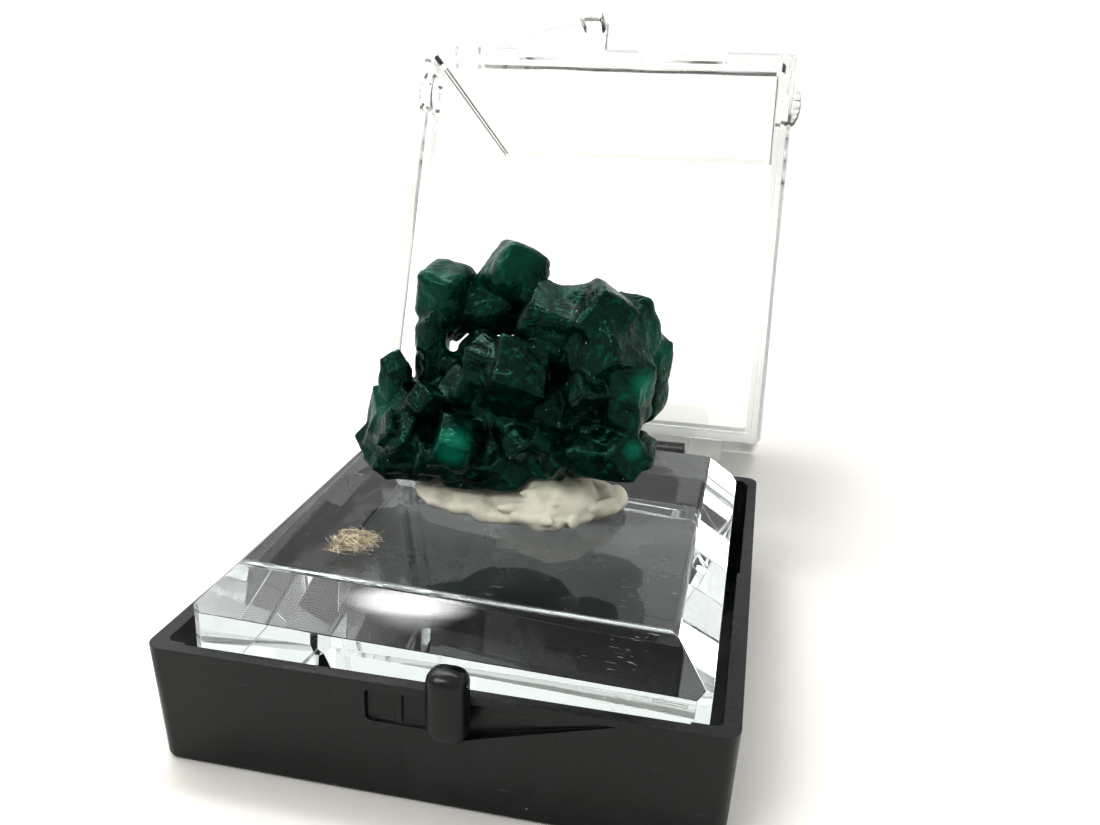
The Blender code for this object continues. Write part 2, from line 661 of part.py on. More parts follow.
make_tray(parts_group, cutter_group, black_plastic)
make_lid(parts_group, cutter_group, clear_plastic)
make_block(parts_group, acrylic)
make_putty(parts_group, cutter_group, putty_finish)
make_cluster(parts_group, cutter_group, dioptase_finish)
make_lint(parts_group, lint_finish)
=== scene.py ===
import math

import bmesh
import bpy
from mathutils import Matrix, Vector, noise
from mathutils.bvhtree import BVHTree


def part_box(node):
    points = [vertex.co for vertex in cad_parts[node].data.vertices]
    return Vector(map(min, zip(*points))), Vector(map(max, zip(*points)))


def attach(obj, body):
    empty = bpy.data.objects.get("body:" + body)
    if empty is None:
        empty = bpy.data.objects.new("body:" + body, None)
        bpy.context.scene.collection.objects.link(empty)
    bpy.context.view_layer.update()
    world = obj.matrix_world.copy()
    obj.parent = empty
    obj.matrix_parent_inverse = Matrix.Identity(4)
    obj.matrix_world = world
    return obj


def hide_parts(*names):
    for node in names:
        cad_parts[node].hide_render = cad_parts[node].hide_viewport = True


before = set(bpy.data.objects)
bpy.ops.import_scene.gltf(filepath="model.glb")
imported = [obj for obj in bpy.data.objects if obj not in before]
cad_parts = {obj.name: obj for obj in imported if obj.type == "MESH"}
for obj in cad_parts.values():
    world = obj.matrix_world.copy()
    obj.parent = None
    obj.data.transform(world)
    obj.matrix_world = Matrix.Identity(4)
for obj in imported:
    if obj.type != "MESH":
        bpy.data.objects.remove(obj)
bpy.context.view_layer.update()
mm = 0.001
scene = bpy.context.scene

# The block lies a little tipped in the tray: the middle of its top face, and its turns about X, Y and Z
blockPose = {"topMm": (-0.02, -0.5, 11.72), "turns": (0.025, 0.03, 0.002)}
turnX, turnY, turnZ = blockPose["turns"]
blockTurn = Matrix.Rotation(turnZ, 4, "Z") @ Matrix.Rotation(turnY, 4, "Y") @ Matrix.Rotation(turnX, 4, "X")
blockFrame = Matrix.Translation(Vector(blockPose["topMm"]) * mm) @ blockTurn

# The places of a Mix node's two colours and of its colour result
mixA, mixB, mixResult = 6, 7, 2


def hexColor(code):
    # sRGB hex to the linear values that shaders use
    parts = [int(code[i : i + 2], 16) / 255 for i in (1, 3, 5)]
    linear = [c / 12.92 if c <= 0.04045 else ((c + 0.055) / 1.055) ** 2.4 for c in parts]
    return (*linear, 1.0)


def addNode(tree, kind, settings=None, inputs=None, stops=None):
    # Adds a node with its settings, fixed inputs or links, and a ramp's stops
    node = tree.nodes.new(kind)
    for name, value in (settings or {}).items():
        setattr(node, name, value)
    for key, value in (inputs or {}).items():
        if isinstance(value, bpy.types.NodeSocket):
            tree.links.new(value, node.inputs[key])
        else:
            node.inputs[key].default_value = value
    if stops:
        ramp = node.color_ramp
        for position, color in stops[2:]:
            ramp.elements.new(position)
        for element, (position, color) in zip(ramp.elements, sorted(stops)):
            element.position = position
            element.color = color
    return node


def newMaterial(name):
    made = bpy.data.materials.new(name)
    made.use_nodes = True
    tree = made.node_tree
    return made, tree, tree.nodes["Principled BSDF"], addNode(tree, "ShaderNodeTexCoord").outputs["Object"]


def perMm(size):
    # A texture scale for features of this size in millimetres, on Object coordinates in metres
    return 1 / (size * mm)


def speckMask(tree, place, sizeMm, radius, share):
    # Round specks, in only a share of the cells so that they lie unevenly; 1 in a speck and 0 around it
    cells = addNode(tree, "ShaderNodeTexVoronoi", None, {"Vector": place, "Scale": perMm(sizeMm)})
    inside = addNode(tree, "ShaderNodeMath", {"operation": "LESS_THAN"}, {0: cells.outputs["Distance"], 1: radius})
    drawn = addNode(tree, "ShaderNodeSeparateColor", None, {"Color": cells.outputs["Color"]})
    kept = addNode(tree, "ShaderNodeMath", {"operation": "LESS_THAN"}, {0: drawn.outputs["Red"], 1: share})
    both = addNode(
        tree, "ShaderNodeMath", {"operation": "MULTIPLY"}, {0: inside.outputs["Value"], 1: kept.outputs["Value"]}
    )
    return both.outputs["Value"]


# Black polystyrene, injection moulded: a near-black gloss that handling has dulled in soft smudges,
# with fine scuffs that catch the light as short pale lines, drawn coarser than real ones so that they show
blackPlastic = {
    "color": "#0b0d0d", "bloom": "#1f2221", "scuff": "#4a4f4c", "dustAndGlint": "#8b8f8a", "ior": 1.55,
    "roughness": (0.16, 0.5), "smudgeMm": 5.0, "scuffMm": 1.5, "scuffAmount": 0.6,
    "dustAndGlintMm": 1.9, "dustAndGlintRadius": 0.03, "dustAndGlintShare": 0.3, "peelMm": 0.5, "peelStrength": 0.12, "peelDepthMm": 0.05,
}


def makeMouldedBlackPolystyrene():
    made, tree, shader, place = newMaterial("mouldedBlackPolystyrene")
    v = blackPlastic
    smudge = addNode(
        tree, "ShaderNodeTexNoise", None,
        {"Vector": place, "Scale": perMm(v["smudgeMm"]), "Detail": 6.0, "Roughness": 0.62, "Distortion": 0.6},
    )
    rough = addNode(
        tree, "ShaderNodeMapRange", None,
        {"Value": smudge.outputs["Fac"], "From Min": 0.35, "From Max": 0.66,
         "To Min": v["roughness"][0], "To Max": v["roughness"][1]},
    )
    bloom = addNode(
        tree, "ShaderNodeMapRange", None, {"Value": smudge.outputs["Fac"], "From Min": 0.5, "From Max": 0.72}
    )
    stretch = addNode(
        tree, "ShaderNodeMapping", None, {"Vector": place, "Rotation": (0.2, 0.5, 0.7), "Scale": (1.0, 1.0, 9.0)}
    )
    lines = addNode(
        tree, "ShaderNodeTexNoise", None,
        {"Vector": stretch.outputs["Vector"], "Scale": perMm(v["scuffMm"]), "Detail": 3.0, "Roughness": 0.7},
    )
    scuff = addNode(
        tree, "ShaderNodeMapRange", None,
        {"Value": lines.outputs["Fac"], "From Min": 0.66, "From Max": 0.76, "To Min": 0.0,
         "To Max": v["scuffAmount"]},
    )
    # Pale specks of dust on the tray
    dustAndGlint = speckMask(tree, place, v["dustAndGlintMm"], v["dustAndGlintRadius"], v["dustAndGlintShare"])
    color = hexColor(v["color"])
    for amount, name in ((bloom.outputs["Result"], "bloom"), (scuff.outputs["Result"], "scuff"), (dustAndGlint, "dustAndGlint")):
        color = addNode(
            tree, "ShaderNodeMix", {"data_type": "RGBA"}, {"Factor": amount, mixA: color, mixB: hexColor(v[name])}
        ).outputs[mixResult]
    tree.links.new(color, shader.inputs["Base Color"])
    tree.links.new(rough.outputs["Result"], shader.inputs["Roughness"])
    peel = addNode(tree, "ShaderNodeTexNoise", None, {"Vector": place, "Scale": perMm(v["peelMm"]), "Detail": 2.0})
    bump = addNode(
        tree, "ShaderNodeBump", None,
        {"Strength": v["peelStrength"], "Distance": v["peelDepthMm"] * mm, "Height": peel.outputs["Fac"]},
    )
    tree.links.new(bump.outputs["Normal"], shader.inputs["Normal"])
    shader.inputs["IOR"].default_value = v["ior"]
    return made


# Clear polystyrene, injection moulded: water-clear walls with faint flow waves that bend what is behind them
clearPlastic = {
    "color": "#fbfdfc", "shade": "#7b8686", "dimming": 9.0, "ior": 1.59, "roughness": 0.02,
    "flowMm": 9.0, "flowStrength": 0.1, "flowDepthMm": 0.2,
}


def makeMouldedClearPolystyrene():
    made, tree, shader, place = newMaterial("mouldedClearPolystyrene")
    v = clearPlastic
    flow = addNode(tree, "ShaderNodeTexNoise", None, {"Vector": place, "Scale": perMm(v["flowMm"]), "Detail": 1.0})
    bump = addNode(
        tree, "ShaderNodeBump", None,
        {"Strength": v["flowStrength"], "Distance": v["flowDepthMm"] * mm, "Height": flow.outputs["Fac"]},
    )
    tree.links.new(bump.outputs["Normal"], shader.inputs["Normal"])
    dim = addNode(
        tree, "ShaderNodeVolumeAbsorption", None, {"Color": hexColor(v["shade"]), "Density": v["dimming"]}
    )
    tree.links.new(dim.outputs["Volume"], tree.nodes["Material Output"].inputs["Volume"])
    shader.inputs["Base Color"].default_value = hexColor(v["color"])
    shader.inputs["Roughness"].default_value = v["roughness"]
    shader.inputs["IOR"].default_value = v["ior"]
    shader.inputs["Transmission Weight"].default_value = 1.0
    return made


# Cast acrylic, sawn and flame polished: glass-clear, with rubbed patches of hairline scratches and specks of dust,
# both drawn coarser than real ones so that they show
acrylic = {
    "color": "#fbfdfc", "tint": "#aae0d7", "dimming": 1.5, "ior": 1.49, "markRoughness": 0.5, "patchMm": 7.0,
    "hairMm": 0.2, "hairStrength": 0.006, "hairDepthMm": 0.05, "speckMm": 1.3, "speckRadius": 0.03, "speckShare": 0.4,
}


def makePolishedCastAcrylic():
    made, tree, shader, place = newMaterial("polishedCastAcrylic")
    v = acrylic
    stretch = addNode(
        tree, "ShaderNodeMapping", None, {"Vector": place, "Rotation": (0.0, 0.0, 0.4), "Scale": (0.15, 1.0, 1.0)}
    )
    hairs = addNode(
        tree, "ShaderNodeTexNoise", None,
        {"Vector": stretch.outputs["Vector"], "Scale": perMm(v["hairMm"]), "Detail": 2.0, "Roughness": 0.8},
    )
    patch = addNode(tree, "ShaderNodeTexNoise", None, {"Vector": place, "Scale": perMm(v["patchMm"]), "Detail": 2.0})
    rubbed = addNode(
        tree, "ShaderNodeMapRange", None,
        {"Value": patch.outputs["Fac"], "From Min": 0.55, "From Max": 0.7, "To Min": 0.0, "To Max": 1.0},
    )
    depth = addNode(
        tree, "ShaderNodeMath", {"operation": "MULTIPLY"}, {0: hairs.outputs["Fac"], 1: rubbed.outputs["Result"]}
    )
    bump = addNode(
        tree, "ShaderNodeBump", None,
        {"Strength": v["hairStrength"], "Distance": v["hairDepthMm"] * mm, "Height": depth.outputs["Value"]},
    )
    scratch = addNode(
        tree, "ShaderNodeMapRange", None, {"Value": depth.outputs["Value"], "From Min": 0.6, "From Max": 0.7}
    )
    specks = speckMask(tree, place, v["speckMm"], v["speckRadius"], v["speckShare"])
    marks = addNode(
        tree, "ShaderNodeMath", {"operation": "MAXIMUM"}, {0: specks, 1: scratch.outputs["Result"]}
    )
    rough = addNode(
        tree, "ShaderNodeMath", {"operation": "MULTIPLY"}, {0: marks.outputs["Value"], 1: v["markRoughness"]}
    )
    green = addNode(
        tree, "ShaderNodeVolumeAbsorption", None, {"Color": hexColor(v["tint"]), "Density": v["dimming"]}
    )
    tree.links.new(green.outputs["Volume"], tree.nodes["Material Output"].inputs["Volume"])
    tree.links.new(bump.outputs["Normal"], shader.inputs["Normal"])
    tree.links.new(rough.outputs["Value"], shader.inputs["Roughness"])
    shader.inputs["Base Color"].default_value = hexColor(v["color"])
    shader.inputs["IOR"].default_value = v["ior"]
    shader.inputs["Transmission Weight"].default_value = 1.0
    return made


# Mineral putty, kneaded by hand: chalky off-white with a dull skin, faint grey handling marks and a few dark specks
puttyLook = {
    "color": "#dcd9cb", "marks": "#b9b5a4", "speck": "#6c6555", "roughness": 0.62, "markMm": 2.2,
    "speckMm": 1.7, "speckRadius": 0.09, "speckShare": 0.35, "grainMm": 0.25, "grainStrength": 0.3,
    "grainDepthMm": 0.06, "lightInside": 0.2, "lightDepthMm": 0.5,
}


def makeKneadedMineralPutty():
    made, tree, shader, place = newMaterial("kneadedMineralPutty")
    v = puttyLook
    marks = addNode(tree, "ShaderNodeTexNoise", None, {"Vector": place, "Scale": perMm(v["markMm"]), "Detail": 4.0})
    marked = addNode(
        tree, "ShaderNodeValToRGB", None, {"Fac": marks.outputs["Fac"]},
        [(0.5, hexColor(v["color"])), (0.8, hexColor(v["marks"]))],
    )
    color = addNode(
        tree, "ShaderNodeMix", {"data_type": "RGBA"},
        {"Factor": speckMask(tree, place, v["speckMm"], v["speckRadius"], v["speckShare"]),
         mixA: marked.outputs["Color"], mixB: hexColor(v["speck"])},
    )
    tree.links.new(color.outputs[mixResult], shader.inputs["Base Color"])
    grain = addNode(tree, "ShaderNodeTexNoise", None, {"Vector": place, "Scale": perMm(v["grainMm"]), "Detail": 3.0})
    bump = addNode(
        tree, "ShaderNodeBump", None,
        {"Strength": v["grainStrength"], "Distance": v["grainDepthMm"] * mm, "Height": grain.outputs["Fac"]},
    )
    tree.links.new(bump.outputs["Normal"], shader.inputs["Normal"])
    shader.inputs["Roughness"].default_value = v["roughness"]
    shader.inputs["Subsurface Weight"].default_value = v["lightInside"]
    shader.inputs["Subsurface Radius"].default_value = (1.0, 0.8, 0.5)
    shader.inputs["Subsurface Scale"].default_value = v["lightDepthMm"] * mm
    return made


# Dioptase, natural crystal: glassy emerald that drinks light within a few millimetres, so that thick parts go
# black-green and thin rims glow, with growth steps and clouded patches on its faces; glow spots, glowing flecks and
# glint specks are painted into its colour
dioptase = {
    "deep": "#01110f", "body": "#04382f", "glow": "#14a586", "dustAndGlint": "#a9bcb4", "tint": "#7fcdb4",
    "ior": 1.66, "shine": 0.25, "transmission": 0.5, "depthMm": 1.3, "roughness": (0.07, 0.3),
    "cloudMm": 2.1, "glowFleckMm": 0.6, "glowFleckAmount": 0.5, "dustAndGlintMm": 0.9, "dustAndGlintRadius": 0.07, "dustAndGlintShare": 0.65,
    "stepMm": 1.7, "stepShare": 0.5, "pitMm": 0.22, "seamMm": 1.1, "seamDepth": 0.4,
    "reliefStrength": 0.38, "reliefDepthMm": 0.1,
    "paintedGlowSpots": [  # painted glow: centre, radius and strength of bright spots painted into the base colour where light comes through, in mm
        ((-2.7, -4.8, 17.0), 1.8, 1.0), ((9.3, -2.6, 21.6), 1.5, 0.65), ((8.9, -3.2, 17.4), 1.0, 0.5),
        ((-5.8, 1.2, 26.4), 3.4, 0.18), ((-0.6, 1.4, 28.0), 3.0, 0.2), ((9.6, 0.5, 23.5), 2.6, 0.25),
        ((-9.0, -2.0, 18.6), 2.4, 0.25), ((3.4, -3.0, 15.6), 1.8, 0.35),
    ],
}


def makeNaturalDioptase():
    made, tree, shader, place = newMaterial("naturalDioptaseCrystal")
    v = dioptase
    clouds = addNode(tree, "ShaderNodeTexNoise", None, {"Vector": place, "Scale": perMm(v["cloudMm"]), "Detail": 4.0})
    depth = addNode(
        tree, "ShaderNodeMapRange", None, {"Value": clouds.outputs["Fac"], "From Min": 0.36, "From Max": 0.68}
    )
    color = addNode(
        tree, "ShaderNodeMix", {"data_type": "RGBA"},
        {"Factor": depth.outputs["Result"], mixA: hexColor(v["deep"]), mixB: hexColor(v["body"])},
    ).outputs[mixResult]
    layers = []
    # Painted glow: each listed spot mixes the glow colour into the base colour, strongest at its centre
    for centre, radius, strength in v["paintedGlowSpots"]:
        away = addNode(
            tree, "ShaderNodeVectorMath", {"operation": "DISTANCE"}, {0: place, 1: [c * mm for c in centre]}
        )
        near = addNode(
            tree, "ShaderNodeMapRange", {"interpolation_type": "SMOOTHSTEP"},
            {"Value": away.outputs["Value"], "From Min": 0.2 * radius * mm, "From Max": radius * mm,
             "To Min": strength, "To Max": 0.0},
        )
        layers.append((near.outputs["Result"], "glow"))
    # Painted glints: small noisy flecks of the glow colour mixed into the base colour
    glowFlecks = addNode(
        tree, "ShaderNodeTexNoise", None,
        {"Vector": place, "Scale": perMm(v["glowFleckMm"]), "Detail": 3.0, "Roughness": 0.6, "Distortion": 0.3},
    )
    lit = addNode(
        tree, "ShaderNodeMapRange", None,
        {"Value": glowFlecks.outputs["Fac"], "From Min": 0.55, "From Max": 0.78, "To Min": 0.0,
         "To Max": v["glowFleckAmount"]},
    )
    layers.append((lit.outputs["Result"], "glow"))
    # Painted glints: pale specks on the crystal faces that stand in for small sparkles of light as well as dust
    layers.append((speckMask(tree, place, v["dustAndGlintMm"], v["dustAndGlintRadius"], v["dustAndGlintShare"]), "dustAndGlint"))
    for amount, name in layers:
        color = addNode(
            tree, "ShaderNodeMix", {"data_type": "RGBA"}, {"Factor": amount, mixA: color, mixB: hexColor(v[name])}
        ).outputs[mixResult]
    tree.links.new(color, shader.inputs["Base Color"])
    rough = addNode(
        tree, "ShaderNodeMapRange", None,
        {"Value": clouds.outputs["Fac"], "From Min": 0.3, "From Max": 0.7,
         "To Min": v["roughness"][0], "To Max": v["roughness"][1]},
    )
    tree.links.new(rough.outputs["Result"], shader.inputs["Roughness"])
    steps = addNode(tree, "ShaderNodeTexNoise", None, {"Vector": place, "Scale": perMm(v["stepMm"]), "Detail": 2.0})
    terraces = addNode(tree, "ShaderNodeMath", {"operation": "SNAP"}, {0: steps.outputs["Fac"], 1: 0.05})
    pits = addNode(tree, "ShaderNodeTexNoise", None, {"Vector": place, "Scale": perMm(v["pitMm"]), "Detail": 4.0})
    relief = addNode(
        tree, "ShaderNodeMath", {"operation": "MULTIPLY_ADD"},
        {0: terraces.outputs["Value"], 1: v["stepShare"], 2: pits.outputs["Fac"]},
    )
    seams = addNode(  # grooves where blocks of the crystal have grown against each other
        tree, "ShaderNodeTexVoronoi", {"feature": "DISTANCE_TO_EDGE"}, {"Vector": place, "Scale": perMm(v["seamMm"])}
    )
    groove = addNode(
        tree, "ShaderNodeMapRange", None,
        {"Value": seams.outputs["Distance"], "From Min": 0.0, "From Max": 0.09,
         "To Min": -v["seamDepth"], "To Max": 0.0},
    )
    relief = addNode(tree, "ShaderNodeMath", None, {0: relief.outputs["Value"], 1: groove.outputs["Result"]})
    bump = addNode(
        tree, "ShaderNodeBump", None,
        {"Strength": v["reliefStrength"], "Distance": v["reliefDepthMm"] * mm, "Height": relief.outputs["Value"]},
    )
    tree.links.new(bump.outputs["Normal"], shader.inputs["Normal"])
    shader.inputs["IOR"].default_value = v["ior"]
    shader.inputs["Specular IOR Level"].default_value = v["shine"]
    shader.inputs["Specular Tint"].default_value = hexColor(v["tint"])
    shader.inputs["Transmission Weight"].default_value = v["transmission"]
    body = addNode(
        tree, "ShaderNodeVolumeAbsorption", None, {"Color": hexColor(v["glow"]), "Density": perMm(v["depthMm"])}
    )
    tree.links.new(body.outputs["Volume"], tree.nodes["Material Output"].inputs["Volume"])
    return made


# Textile lint, spun cotton come loose: matt beige fibres, some bleached and some brown
lintLook = {"pale": "#e3dac3", "brown": "#a3937a", "patchMm": 0.5, "roughness": 0.85, "sheen": 0.3}


def makeSpunCottonLint():
    made, tree, shader, place = newMaterial("spunCottonLint")
    patch = addNode(
        tree, "ShaderNodeTexNoise", None, {"Vector": place, "Scale": perMm(lintLook["patchMm"]), "Detail": 1.0}
    )
    color = addNode(
        tree, "ShaderNodeValToRGB", None, {"Fac": patch.outputs["Fac"]},
        [(0.38, hexColor(lintLook["pale"])), (0.66, hexColor(lintLook["brown"]))],
    )
    tree.links.new(color.outputs["Color"], shader.inputs["Base Color"])
    shader.inputs["Roughness"].default_value = lintLook["roughness"]
    shader.inputs["Sheen Weight"].default_value = lintLook["sheen"]
    return made


# How a copy of a CAD node is merged, and from which angle on an edge counts as one
cleaning = {"mergeMm": 0.002, "flatDeg": 0.5, "edgeDeg": 32}


def cleanCopy(nodeName):
    # A copy of a frame node with its loose triangles merged and its flat faces whole again
    bm = bmesh.new()
    bm.from_mesh(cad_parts[nodeName].data)
    bmesh.ops.remove_doubles(bm, verts=bm.verts, dist=cleaning["mergeMm"] * mm)
    bmesh.ops.dissolve_limit(bm, angle_limit=math.radians(cleaning["flatDeg"]), verts=bm.verts, edges=bm.edges)
    mesh = bpy.data.meshes.new(nodeName + "Copy")
    bm.to_mesh(mesh)
    bm.free()
    made = bpy.data.objects.new(nodeName + "Copy", mesh)
    scene.collection.objects.link(made)
    return made


def applyModifiers(piece):
    bpy.context.view_layer.update()
    mesh = bpy.data.meshes.new_from_object(piece.evaluated_get(bpy.context.evaluated_depsgraph_get()))
    piece.modifiers.clear()
    piece.data = mesh


def handOver(piece, name, nodeName, bodyName, material):
    piece.name = name
    piece.data.name = name
    piece.data.materials.clear()
    piece.data.materials.append(material)
    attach(piece, bodyName)
    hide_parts(nodeName)
    print(name, "made:", len(piece.data.polygons), "faces")


def roughen(mesh, waves):
    # Moves each vertex along its normal by noise; a wave is its height and its size in mm
    moved = []
    for vert in mesh.vertices:
        p = vert.co / mm
        moved.extend(vert.co + vert.normal * mm * sum(height * noise.noise(p / size) for height, size in waves))
    mesh.vertices.foreach_set("co", moved)
    mesh.update()


def growBlocks(mesh, heightMm, sizeMm):
    # Low stepped blocks, highest at the middle of each cell and creased between cells
    moved = []
    for vert in mesh.vertices:
        away = noise.voronoi(vert.co / mm / sizeMm, distance_metric="CHEBYCHEV")[0][0]
        moved.extend(vert.co + vert.normal * mm * heightMm * (0.4 - away))
    mesh.vertices.foreach_set("co", moved)
    mesh.update()


def softenedCopy(nodeName, edgeMm, segments=2):
    # The same solid with its edges rounded by the radius that the moulded or polished piece has
    piece = cleanCopy(nodeName)
    piece.data.shade_smooth()
    piece.data.set_sharp_from_angle(angle=math.radians(cleaning["edgeDeg"]))
    bevel = piece.modifiers.new("edges", "BEVEL")
    bevel.width = edgeMm * mm
    bevel.segments = segments
    bevel.limit_method = "ANGLE"
    bevel.angle_limit = math.radians(cleaning["edgeDeg"])
    flat = piece.modifiers.new("flat", "WEIGHTED_NORMAL")  # large faces stay optically flat up to their soft edges
    flat.keep_sharp = False
    applyModifiers(piece)
    return piece


trayShape = {"edgeMm": 0.12}
lidShape = {"edgeMm": 0.1}
blockShape = {"edgeMm": 0.05}

tray = softenedCopy("base_tray", trayShape["edgeMm"])
handOver(tray, "trayShell", "base_tray", "base", makeMouldedBlackPolystyrene())
lid = softenedCopy("clear_lid", lidShape["edgeMm"])
handOver(lid, "lidShell", "clear_lid", "lid", makeMouldedClearPolystyrene())
block = softenedCopy("acrylic_block", blockShape["edgeMm"])
handOver(block, "bevelledBlock", "acrylic_block", "base", makePolishedCastAcrylic())

# Crystal cluster: the solid's flat faces kept, its edges worn, and small growth blocks raised on it
clusterShape = {
    "cellMm": 0.14, "smoothing": 10, "grain": ((0.02, 0.3),),
    "blocks": ((0.3, 2.4), (0.15, 1.25), (0.045, 0.55)),  # height and size of the blocks, in mm
    "wornAboveMm": 23.6, "wornWithinMm": 1.6, "wornSmoothing": 110, "wornSwellMm": 0.22,
    "wornLessFromX": 1.8, "wornLess": 0.3,
}


def makeCluster():
    v = clusterShape
    piece = cleanCopy("dioptase_cluster")
    cells = piece.modifiers.new("cells", "REMESH")
    cells.mode = "VOXEL"
    cells.voxel_size = v["cellMm"] * mm
    applyModifiers(piece)
    upper = piece.vertex_groups.new(name="upper")  # the crystals at the top are rounded more, at the left most
    for vert in piece.data.vertices:
        rise = min((vert.co.z / mm - v["wornAboveMm"]) / v["wornWithinMm"], 1.0)
        if rise > 0:
            share = 1.0 if vert.co.x < v["wornLessFromX"] * mm else v["wornLess"]
            upper.add([vert.index], rise * share, "REPLACE")
    for group, iterations in (("", v["smoothing"]), ("upper", v["wornSmoothing"])):
        worn = piece.modifiers.new("worn", "SMOOTH")
        worn.factor = 0.5
        worn.iterations = iterations
        worn.vertex_group = group
    swell = piece.modifiers.new("swell", "DISPLACE")  # makes up for what the rounding takes off
    swell.strength = v["wornSwellMm"] * mm
    swell.mid_level = 0.0
    swell.vertex_group = "upper"
    applyModifiers(piece)
    for height, size in v["blocks"]:
        growBlocks(piece.data, height, size)
    roughen(piece.data, v["grain"])
    piece.data.shade_smooth()
    return piece


cluster = makeCluster()
handOver(cluster, "crystalCluster", "dioptase_cluster", "base", makeNaturalDioptase())

# Putty: balls and rolls pressed together, flat where they meet the block and moulded to the cluster's underside
puttyShape = {
    "cellMm": 0.13, "liftMm": 0.01, "overlapMm": 0.12,
    "lumps": [  # centre and half sizes in the block top's plane, in mm
        ((-1.9, -0.9, 0.6), (4.6, 3.0, 0.95)),
        ((2.6, -0.6, 0.8), (4.4, 3.7, 1.2)),
        ((3.9, -1.2, 1.3), (2.7, 2.6, 1.85)),
        ((5.9, 0.4, 0.8), (2.3, 2.6, 1.0)),
        ((0.4, 2.2, 0.7), (4.4, 2.7, 1.0)),
        ((-5.1, -0.9, 0.5), (1.5, 1.3, 0.8)),
        ((0.2, -2.9, 0.5), (2.6, 1.3, 0.75)),
        ((3.4, -3.2, 0.5), (1.6, 1.1, 0.7)),
        ((7.3, 1.2, 0.75), (1.0, 1.3, 0.85)),
    ],
    "folds": [  # centre, half sizes and turn in degrees of rolled ridges at the front right
        ((4.2, -3.5, 1.3), (1.2, 0.3, 0.45), 34),
        ((3.4, -4.1, 0.95), (0.9, 0.3, 0.45), -22),
        ((4.9, -2.7, 1.95), (1.5, 0.3, 0.45), 50),
        ((5.4, -3.2, 0.75), (0.8, 0.34, 0.55), 78),
        ((7.0, -1.3, 1.3), (1.4, 0.3, 0.45), 58),
        ((1.9, -3.5, 1.35), (1.8, 0.28, 0.4), 24),
        ((2.8, -2.7, 2.2), (1.5, 0.3, 0.4), 20),
    ],
    "bumps": ((0.2, 1.6), (0.08, 0.6), (0.03, 0.27)),
}


def makePutty(underside):
    v = puttyShape
    bm = bmesh.new()
    shapes = [(c, h, 0) for c, h in v["lumps"]] + v["folds"]
    for centre, half, turn in shapes:
        place = Matrix.Translation(Vector(centre) * mm) @ Matrix.Rotation(math.radians(turn), 4, "Z")
        place = place @ Matrix.Diagonal((half[0] * mm, half[1] * mm, half[2] * mm, 1.0))
        bmesh.ops.create_icosphere(bm, subdivisions=4, radius=1.0, matrix=place)
    mesh = bpy.data.meshes.new("puttyLumps")
    bm.to_mesh(mesh)
    bm.free()
    piece = bpy.data.objects.new("puttyLumps", mesh)
    scene.collection.objects.link(piece)
    cells = piece.modifiers.new("cells", "REMESH")
    cells.mode = "VOXEL"
    cells.voxel_size = v["cellMm"] * mm
    kneaded = piece.modifiers.new("kneaded", "SMOOTH")
    kneaded.factor = 0.5
    kneaded.iterations = 1
    applyModifiers(piece)
    roughen(piece.data, v["bumps"])
    for vert in piece.data.vertices:
        vert.co.z = max(vert.co.z, v["liftMm"] * mm)
        vert.co = blockFrame @ vert.co
        hit = underside.ray_cast(Vector((vert.co.x, vert.co.y, 5 * mm)), Vector((0, 0, 1)))[0]
        if hit:
            vert.co.z = min(vert.co.z, hit.z + v["overlapMm"] * mm)
    piece.data.shade_smooth()
    return piece


clusterTree = BVHTree.FromPolygons([v.co for v in cluster.data.vertices], [p.vertices for p in cluster.data.polygons])
putty = makePutty(clusterTree)
handOver(putty, "kneadedPutty", "putty", "base", makeKneadedMineralPutty())

# Lint: short curved fibres scattered through a flat tuft, made by a geometry nodes tree. A real fibre is about
# 0.02 mm thick, and these are 0.03 mm so that they show; turns are in radians, to both sides
lintShape = {
    "count": 210, "spreadMm": (1.0, 1.2, 0.33), "lengthMm": 2.0, "radiusMm": 0.015, "seed": 4,
    "shiftMm": (-0.25, 0.0, 0.0), "liftMm": 0.02, "bend": (0.0, 0.35, 0.15), "shortest": 0.45,
    "turns": (0.5, 0.35, 3.14),
}


